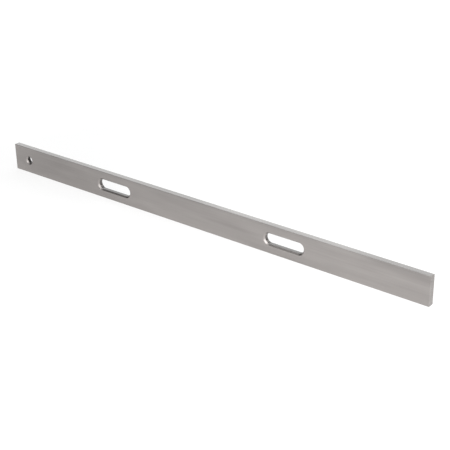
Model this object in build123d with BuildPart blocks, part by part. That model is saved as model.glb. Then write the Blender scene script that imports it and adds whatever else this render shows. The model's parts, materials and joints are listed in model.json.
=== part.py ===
from build123d import *
import os

# A steel straight edge: one flat ground bar that stands on one of its two long
# narrow edges, which are its working edges. Two obround hand holes go through
# it at mid height, and a round hole near one end lets it hang on a peg.
#
# Frame: millimetres, +Z up. The origin is the middle of the lower working edge.
# The bar's length runs along X, with the hanging hole at the -X end, and its
# front side faces -Y.

# The bar, 36 in long, 2 in high and 7/16 in thick
bar_length = 914.4
bar_height = 50.8
bar_thickness = 11.11
edge_break = 0.4

# The hand holes, both obround, at the same distance from the middle
hand_hole_count = 2
hand_hole_spacing = 381.0
hand_hole_length = 77.0
hand_hole_width = 19.0

# The hanging hole
hanging_hole_diameter = 12.7
hanging_hole_from_end = 38.1

# The 45 degree bevel round both rims of every hole
rim_bevel = 2.4

# Places worked out from the sizes above
mid_height = bar_height / 2
hanging_hole_x = hanging_hole_from_end - bar_length / 2

os.makedirs("parts", exist_ok=True)


def rims(new_edges):
    """Those of a through hole's new edges that lie in the bar's two wide sides."""
    by_depth = new_edges.group_by(Axis.Y)
    return by_depth[0] + by_depth[-1]


with BuildPart() as straight_edge_bar:
    # The bar's rectangular section, drawn on the -X end and pulled to the +X end.
    with BuildSketch(Plane.YZ.offset(-bar_length / 2)) as bar_section:
        with Locations((0, mid_height)):
            Rectangle(bar_thickness, bar_height)
    extrude(amount=bar_length)

    # Every outer edge is broken, so that the ground bar is safe to handle.
    chamfer(straight_edge_bar.edges(), edge_break)

    # The two hand holes, cut from the middle plane out through both sides.
    with BuildSketch(Plane.XZ) as hand_hole_outlines:
        with Locations((0, mid_height)):
            with GridLocations(hand_hole_spacing, 0, hand_hole_count, 1):
                SlotOverall(hand_hole_length, hand_hole_width)
    extrude(amount=bar_thickness, both=True, mode=Mode.SUBTRACT)
    chamfer(rims(straight_edge_bar.edges(Select.LAST)), rim_bevel)

    # The hanging hole, drilled through on the same centre line.
    with Locations(Plane.XZ * Location((hanging_hole_x, mid_height))):
        Hole(hanging_hole_diameter / 2)
    chamfer(rims(straight_edge_bar.edges(Select.LAST)), rim_bevel)

straight_edge_bar.part.label = "straight_edge_bar"
export_step(straight_edge_bar.part, "parts/straight_edge_bar.step")
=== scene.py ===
import bpy
import json
from math import cos, radians, sin
from mathutils import Matrix, Vector


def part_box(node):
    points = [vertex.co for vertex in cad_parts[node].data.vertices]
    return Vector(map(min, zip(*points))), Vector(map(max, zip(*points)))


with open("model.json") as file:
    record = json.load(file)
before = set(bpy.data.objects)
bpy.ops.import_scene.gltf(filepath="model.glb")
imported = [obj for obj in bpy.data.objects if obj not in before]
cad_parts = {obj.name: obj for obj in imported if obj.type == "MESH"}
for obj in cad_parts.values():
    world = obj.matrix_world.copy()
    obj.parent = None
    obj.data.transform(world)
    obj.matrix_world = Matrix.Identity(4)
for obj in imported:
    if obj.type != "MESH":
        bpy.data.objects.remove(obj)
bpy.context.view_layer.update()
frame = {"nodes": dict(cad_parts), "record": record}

BAR = "straight_edge_bar"
bar = frame["nodes"][BAR]
bar_low, bar_high = (Vector(corner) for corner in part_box(BAR))
bar_middle = (bar_low + bar_high) / 2
bar_half = (bar_high - bar_low) / 2

# The hanging hole's place along the bar, and twice its radius, which takes in its bevels
MM_PER_METRE = 1000
mounts = {mount["name"]: mount for mount in frame["record"]["mounts"]}
hanging_hole_x = mounts["hanging_hole"]["pos_m"][0]
hanging_hole_reach = 2 * mounts["hanging_hole"]["dims"]["r_mm"] / MM_PER_METRE

# The camera, as the photograph was taken. Angles are in degrees and lengths in
# metres. Azimuth 0 looks along +Y, and a positive one moves the camera to +X.
CAMERA_AZIMUTH = 39.36
CAMERA_ELEVATION = 24.97
CAMERA_ROLL = -0.897
CAMERA_DISTANCE = 1.8574
CAMERA_AIM = Vector((0.03807, 0.03245, 0.00202))
CAMERA_LENS_MM = 85.96
SENSOR_MM = 36.0

# Colours, all linear
STEEL = (0.323, 0.303, 0.293)
WHITE = (1.0, 1.0, 1.0, 1.0)
COOL_WHITE = (0.93, 0.98, 1.0)

# How rough the steel is: the edges, ends and hole walls, the bevels, and the wide sides
WALL_ROUGHNESS = 0.28
BEVEL_ROUGHNESS = 0.35
SIDE_ROUGHNESS = 0.34

# How bright the steel is beside the ground sides, edges and ends. The walls of the two
# milled hand holes and the wall of the drilled hanging hole are darker as painted shade
# inside the holes, partly their duller machined finish, and the bevels are lighter as a
# painted highlight, partly their brighter machined finish
MILLED_WALL_SHADE = 0.5
DRILLED_WALL_SHADE = 0.13
BEVEL_HIGHLIGHT = 1.22

# How squarely a surface faces the way that the wide sides do: the walls, edges and ends
# less than the first value, and the bevels as the second, with some margin
WALL_FACING = 0.5
BEVEL_FACING = cos(radians(45.0))
BEVEL_MARGIN = 0.15

# The holes lie within these shares of the bar's half length and half height
HOLES_LENGTH = 0.95
HOLES_HEIGHT = 0.8

# The grinding lines stretch reflections across themselves, a quarter turn from the
# shader's tangent. The vector along the bar is short, so that it only counts on the wide
# sides, which have no outline for the lines to go round.
ANISOTROPY = 0.5
QUARTER_TURN = 0.25
ACROSS_BAR = (0.0, 1.0, 0.0)
ALONG_BAR = (0.01, 0.0, 0.0)

# Noise on the steel, in cycles per metre along X, Y and Z: fine grinding lines, faint
# bands along the bar, and large soft clouds. The shift picks which clouds show, so that
# they paint shade and light where the bar's reflections grow darker and lighter, and a
# middle is the value of the noise at which the tone or the roughness stays as it is.
GRAIN_SCALE = (14.0, 900.0, 900.0)
BAND_SCALE = (2.5, 320.0, 320.0)
SHADE_CLOUD_SCALE = (2.7, 20.0, 18.7)
SHADE_CLOUD_SHIFT = (8.37, 17.3, 5.06)
GRAIN_DETAIL = 5.0
SOFT_DETAIL = 3.0
NOISE_ROUGHNESS = 0.6
NOISE_MIDDLE = 0.5
SHADE_CLOUD_MIDDLE = 0.464

# What the noise does: how much the lines vary the roughness, how strongly and how deep
# they are raised, in metres, and how much the bands and the clouds of painted shade vary the tone
GRAIN_ROUGHNESS = 0.12
GRAIN_STRENGTH = 0.1
GRAIN_DEPTH = 0.0002
BAND_STRENGTH = 0.18
SHADE_CLOUD_STRENGTH = 0.92

# The floor: its width in bar lengths, the gap under the bar in metres, the strength of
# its own white near the bar, what share of the light it sends back to the eye and to
# mirroring surfaces, and what share it sends back elsewhere
FLOOR_LENGTHS = 40.0
FLOOR_GAP = 0.0001
FLOOR_GLOW = 0.78
FLOOR_GREY = 0.26
PLAIN_GREY = 0.8

# To the eye, the floor's own white grows to full strength between these two distances
# from the middle of the bar, in metres
WHITE_FROM = 0.55
WHITE_BY = 0.8

# The studio round the bar: white below the first height and ceiling grey above the
# second, where a height is the Z of a unit vector
HORIZON_LOW = 0.03
HORIZON_HIGH = 0.12
CEILING_GREY = 0.46

# The dark side of the studio, over the bar's front left: its grey, its direction, and how
# far round that direction it is fully dark, and ends, all in degrees
DARK_GREY = 0.06
DARK_AZIMUTH = 285.0
DARK_ELEVATION = 15.0
DARK_INNER = 20.0
DARK_OUTER = 47.0


def direction(azimuth, elevation):
    """The unit vector from the bar towards an azimuth and an elevation in degrees."""
    turn, tilt = radians(azimuth), radians(elevation)
    return Vector((sin(turn) * cos(tilt), -cos(turn) * cos(tilt), sin(tilt)))


def new_material(name):
    """An empty node material, with its node tree and its output node."""
    material = bpy.data.materials.new(name)
    material.use_nodes = True
    tree = material.node_tree
    tree.nodes.clear()
    output = tree.nodes.new("ShaderNodeOutputMaterial")
    return material, tree, output


def add_node(tree, kind, values=None, **settings):
    """A node of one kind, with its settings and its unlinked input values."""
    node = tree.nodes.new(kind)
    for name, value in settings.items():
        setattr(node, name, value)
    for name, value in (values or {}).items():
        node.inputs[name].default_value = value
    return node


def combine(tree, operation, *values):
    """The result of a Math node. Each value is a number or another node's output."""
    node = add_node(tree, "ShaderNodeMath", operation=operation)
    for socket, value in zip(node.inputs, values):
        if isinstance(value, float):
            socket.default_value = value
        else:
            tree.links.new(value, socket)
    return node.outputs["Value"]


def split(tree, vector):
    """The X, Y and Z of a vector."""
    parts = add_node(tree, "ShaderNodeSeparateXYZ")
    tree.links.new(vector, parts.inputs["Vector"])
    return parts.outputs


def steel_noise(tree, place, scale, detail, shift=(0.0, 0.0, 0.0)):
    """Noise on the steel. Its scale is in cycles per metre along X, Y and Z."""
    mapping = add_node(tree, "ShaderNodeMapping", {"Scale": scale, "Location": shift})
    noise = add_node(
        tree,
        "ShaderNodeTexNoise",
        {"Scale": 1.0, "Detail": detail, "Roughness": NOISE_ROUGHNESS},
    )
    tree.links.new(place.outputs["Object"], mapping.inputs["Vector"])
    tree.links.new(mapping.outputs["Vector"], noise.inputs["Vector"])
    return noise.outputs["Fac"]


def grinding_lines(tree, place):
    """Their direction: along the bar on its sides, and round the outline of each hole."""
    round_outline = add_node(tree, "ShaderNodeVectorMath", operation="CROSS_PRODUCT")
    round_outline.inputs[1].default_value = ACROSS_BAR
    along_bar = add_node(tree, "ShaderNodeVectorMath", operation="ADD")
    along_bar.inputs[1].default_value = ALONG_BAR
    to_world = add_node(
        tree,
        "ShaderNodeVectorTransform",
        vector_type="VECTOR",
        convert_from="OBJECT",
        convert_to="WORLD",
    )
    tree.links.new(place.outputs["Normal"], round_outline.inputs[0])
    tree.links.new(round_outline.outputs["Vector"], along_bar.inputs[0])
    tree.links.new(along_bar.outputs["Vector"], to_world.inputs["Vector"])
    return to_world.outputs["Vector"]


def facing_sides(tree, place):
    """How squarely a surface faces the way that the wide sides do, from 0 to 1."""
    return combine(tree, "ABSOLUTE", split(tree, place.outputs["Normal"])["Y"])


def finish_roughness(tree, place, grain):
    """Roughness by the way a surface faces, varied a little by the grain."""
    per_surface = add_node(tree, "ShaderNodeValToRGB")
    per_surface.color_ramp.elements.new(BEVEL_FACING)
    levels = (WALL_ROUGHNESS, BEVEL_ROUGHNESS, SIDE_ROUGHNESS)
    for element, level in zip(per_surface.color_ramp.elements, levels):
        element.color = (level, level, level, 1.0)
    tree.links.new(facing_sides(tree, place), per_surface.inputs["Fac"])
    spread = combine(tree, "MULTIPLY_ADD", grain, GRAIN_ROUGHNESS, -GRAIN_ROUGHNESS * NOISE_MIDDLE)
    return combine(tree, "ADD", per_surface.outputs["Color"], spread)


def hole_wall_shade(tree, place):
    """The holes' walls darkened as painted shade, partly their duller machined finish, and 1
    elsewhere.
    """
    spot = split(tree, place.outputs["Object"])
    across = combine(tree, "LESS_THAN", facing_sides(tree, place), WALL_FACING)
    within_length = combine(tree, "COMPARE", spot["X"], bar_middle.x, HOLES_LENGTH * bar_half.x)
    within_height = combine(tree, "COMPARE", spot["Z"], bar_middle.z, HOLES_HEIGHT * bar_half.z)
    within = combine(tree, "MULTIPLY", within_length, within_height)
    inside = combine(tree, "MULTIPLY", within, across)
    drilled = combine(tree, "COMPARE", spot["X"], hanging_hole_x, hanging_hole_reach)
    # Painted shade: darkest on the drilled hole's wall, less on the milled holes' walls
    tone = combine(tree, "MULTIPLY_ADD", drilled, DRILLED_WALL_SHADE - MILLED_WALL_SHADE, MILLED_WALL_SHADE - 1.0)
    return combine(tree, "MULTIPLY_ADD", inside, tone, 1.0)


def bevel_highlight(tree, place):
    """A painted highlight on the bevels, at 45 degrees to the sides, partly their brighter
    machined finish, and 1 elsewhere.
    """
    bevel = combine(tree, "COMPARE", facing_sides(tree, place), BEVEL_FACING, BEVEL_MARGIN)
    return combine(tree, "MULTIPLY_ADD", bevel, BEVEL_HIGHLIGHT - 1.0, 1.0)


def steel_tone(tree, place):
    """The steel's colour, with faint bands, soft clouds that paint shade and light along the bar,
    painted shade in the holes and a painted highlight on the bevels.
    """
    shade_cloud = steel_noise(tree, place, SHADE_CLOUD_SCALE, SOFT_DETAIL, SHADE_CLOUD_SHIFT)
    band = steel_noise(tree, place, BAND_SCALE, SOFT_DETAIL)
    offset = 1.0 - SHADE_CLOUD_STRENGTH * SHADE_CLOUD_MIDDLE - BAND_STRENGTH * NOISE_MIDDLE
    # The clouds are painted shade and light, placed by their shift
    shade_clouds = combine(tree, "MULTIPLY_ADD", shade_cloud, SHADE_CLOUD_STRENGTH, offset)
    level = combine(tree, "MULTIPLY_ADD", band, BAND_STRENGTH, shade_clouds)
    # Painted shade in the holes and a painted highlight on the bevels, each partly a machined
    # finish
    per_surface = combine(tree, "MULTIPLY", hole_wall_shade(tree, place), bevel_highlight(tree, place))
    shade = add_node(tree, "ShaderNodeVectorMath", operation="SCALE")
    shade.inputs[0].default_value = STEEL
    tree.links.new(combine(tree, "MULTIPLY", level, per_surface), shade.inputs["Scale"])
    return shade.outputs["Vector"]


def ground_steel():
    """Satin steel with fine grinding lines."""
    material, tree, output = new_material("ground_steel")
    link = tree.links.new
    place = add_node(tree, "ShaderNodeTexCoord")
    grain = steel_noise(tree, place, GRAIN_SCALE, GRAIN_DETAIL)
    bump = add_node(
        tree,
        "ShaderNodeBump",
        {"Strength": GRAIN_STRENGTH, "Distance": GRAIN_DEPTH},
    )
    shader = add_node(
        tree,
        "ShaderNodeBsdfPrincipled",
        {"Metallic": 1.0, "Anisotropic": ANISOTROPY, "Anisotropic Rotation": QUARTER_TURN},
    )
    link(grain, bump.inputs["Height"])
    link(steel_tone(tree, place), shader.inputs["Base Color"])
    link(finish_roughness(tree, place, grain), shader.inputs["Roughness"])
    link(bump.outputs["Normal"], shader.inputs["Normal"])
    link(grinding_lines(tree, place), shader.inputs["Tangent"])
    link(shader.outputs["BSDF"], output.inputs["Surface"])
    return material


def floor_glow(tree, rays):
    """The strength of the floor's own white, which to the eye grows away from the bar."""
    place = add_node(tree, "ShaderNodeTexCoord")
    distance = add_node(tree, "ShaderNodeVectorMath", operation="LENGTH")
    far = add_node(
        tree,
        "ShaderNodeMapRange",
        {"From Min": WHITE_FROM, "From Max": WHITE_BY},
        interpolation_type="SMOOTHSTEP",
    )
    tree.links.new(place.outputs["Object"], distance.inputs[0])
    tree.links.new(distance.outputs["Value"], far.inputs["Value"])
    far_seen = combine(tree, "MULTIPLY", far.outputs["Result"], rays["Is Camera Ray"])
    return combine(tree, "MULTIPLY_ADD", far_seen, 1.0 - FLOOR_GLOW, FLOOR_GLOW)


def studio_floor():
    """A plain pale floor that looks white and still takes the bar's shadow."""
    material, tree, output = new_material("studio_floor")
    link = tree.links.new
    plain, shaded = (
        add_node(tree, "ShaderNodeBsdfDiffuse", {"Color": (grey, grey, grey, 1.0)})
        for grey in (PLAIN_GREY, FLOOR_GREY)
    )
    rays = add_node(tree, "ShaderNodeLightPath").outputs
    glow = add_node(tree, "ShaderNodeEmission", {"Color": WHITE})
    both = add_node(tree, "ShaderNodeAddShader")
    link(floor_glow(tree, rays), glow.inputs["Strength"])
    link(shaded.outputs["BSDF"], both.inputs[0])
    link(glow.outputs["Emission"], both.inputs[1])
    mirrored = combine(tree, "MAXIMUM", rays["Is Glossy Ray"], rays["Is Transmission Ray"])
    seen = combine(tree, "MAXIMUM", rays["Is Camera Ray"], mirrored)
    switch = add_node(tree, "ShaderNodeMixShader")
    link(seen, switch.inputs["Fac"])
    link(plain.outputs["BSDF"], switch.inputs[1])
    link(both.outputs["Shader"], switch.inputs[2])
    link(switch.outputs["Shader"], output.inputs["Surface"])
    return material


def add_floor():
    """The floor, a wide plane just under the edge that the bar stands on."""
    width = FLOOR_LENGTHS * (bar_high.x - bar_low.x)
    bpy.ops.mesh.primitive_plane_add(size=width, location=(0.0, 0.0, bar_low.z - FLOOR_GAP))
    floor = bpy.context.object
    floor.name = "floor"
    floor.data.materials.append(studio_floor())


def add_world():
    """The studio round the bar: white at the horizon, and grey above with a dark side."""
    world = bpy.data.worlds.new("studio")
    bpy.context.scene.world = world
    world.use_nodes = True
    tree = world.node_tree
    tree.nodes.clear()
    link = tree.links.new
    output = add_node(tree, "ShaderNodeOutputWorld")
    place = add_node(tree, "ShaderNodeTexCoord")

    towards_dark = add_node(tree, "ShaderNodeVectorMath", operation="DOT_PRODUCT")
    towards_dark.inputs[1].default_value = direction(DARK_AZIMUTH, DARK_ELEVATION)
    link(place.outputs["Generated"], towards_dark.inputs[0])
    ceiling = add_node(
        tree,
        "ShaderNodeMapRange",
        {
            "From Min": cos(radians(DARK_OUTER)),
            "From Max": cos(radians(DARK_INNER)),
            "To Min": CEILING_GREY,
            "To Max": DARK_GREY,
        },
    )
    link(towards_dark.outputs["Value"], ceiling.inputs["Value"])

    horizon = add_node(
        tree,
        "ShaderNodeMapRange",
        {"From Min": HORIZON_LOW, "From Max": HORIZON_HIGH, "To Min": 1.0, "To Max": 0.0},
        interpolation_type="SMOOTHSTEP",
    )
    link(split(tree, place.outputs["Generated"])["Z"], horizon.inputs["Value"])

    level = combine(tree, "MAXIMUM", ceiling.outputs["Result"], horizon.outputs["Result"])
    light = add_node(tree, "ShaderNodeBackground", {"Color": WHITE})
    link(level, light.inputs["Strength"])
    link(light.outputs["Background"], output.inputs["Surface"])


def facing_back(azimuth, elevation):
    """The turn that faces back from an azimuth and an elevation in degrees."""
    turn, tilt = radians(azimuth), radians(90.0 - elevation)
    return Matrix.Rotation(turn, 4, "Z") @ Matrix.Rotation(tilt, 4, "X")


def add_softbox(name, azimuth, elevation, distance, size, power, colour=WHITE[:3]):
    """An area lamp that faces the bar, with its angles in degrees and lengths in metres."""
    data = bpy.data.lights.new(name, "AREA")
    data.shape = "RECTANGLE"
    data.size, data.size_y = size
    data.energy = power
    data.color = colour
    lamp = bpy.data.objects.new(name, data)
    bpy.context.collection.objects.link(lamp)
    away = Matrix.Translation((0.0, 0.0, distance))
    lamp.matrix_world = facing_back(azimuth, elevation) @ away


def add_camera():
    """The camera at the photograph's viewing angle, rolled a little."""
    data = bpy.data.cameras.new("camera")
    data.lens = CAMERA_LENS_MM
    data.sensor_width = SENSOR_MM
    camera = bpy.data.objects.new("camera", data)
    bpy.context.collection.objects.link(camera)
    camera.matrix_world = (
        Matrix.Translation(CAMERA_AIM)
        @ facing_back(CAMERA_AZIMUTH, CAMERA_ELEVATION)
        @ Matrix.Rotation(radians(CAMERA_ROLL), 4, "Z")
        @ Matrix.Translation((0.0, 0.0, CAMERA_DISTANCE))
    )
    bpy.context.scene.camera = camera


steel = ground_steel()
for slot in bar.material_slots:
    slot.material = steel

add_floor()
add_world()
add_softbox(
    "softbox_front",
    azimuth=3.0,
    elevation=19.0,
    distance=2.4,
    size=(2.83, 2.03),
    power=34.8,
)
add_softbox(
    "softbox_back",
    azimuth=215.0,
    elevation=31.0,
    distance=2.4,
    size=(2.5, 1.3),
    power=13.4,
    colour=COOL_WHITE,
)
add_softbox(
    "softbox_over",
    azimuth=72.0,
    elevation=36.0,
    distance=0.71,
    size=(0.89, 0.94),
    power=5.1,
)
add_softbox(
    "softbox_side",
    azimuth=152.0,
    elevation=37.0,
    distance=2.4,
    size=(1.5, 1.2),
    power=7.1,
)
add_camera()

view_settings = bpy.context.scene.view_settings
view_settings.view_transform = "Standard"
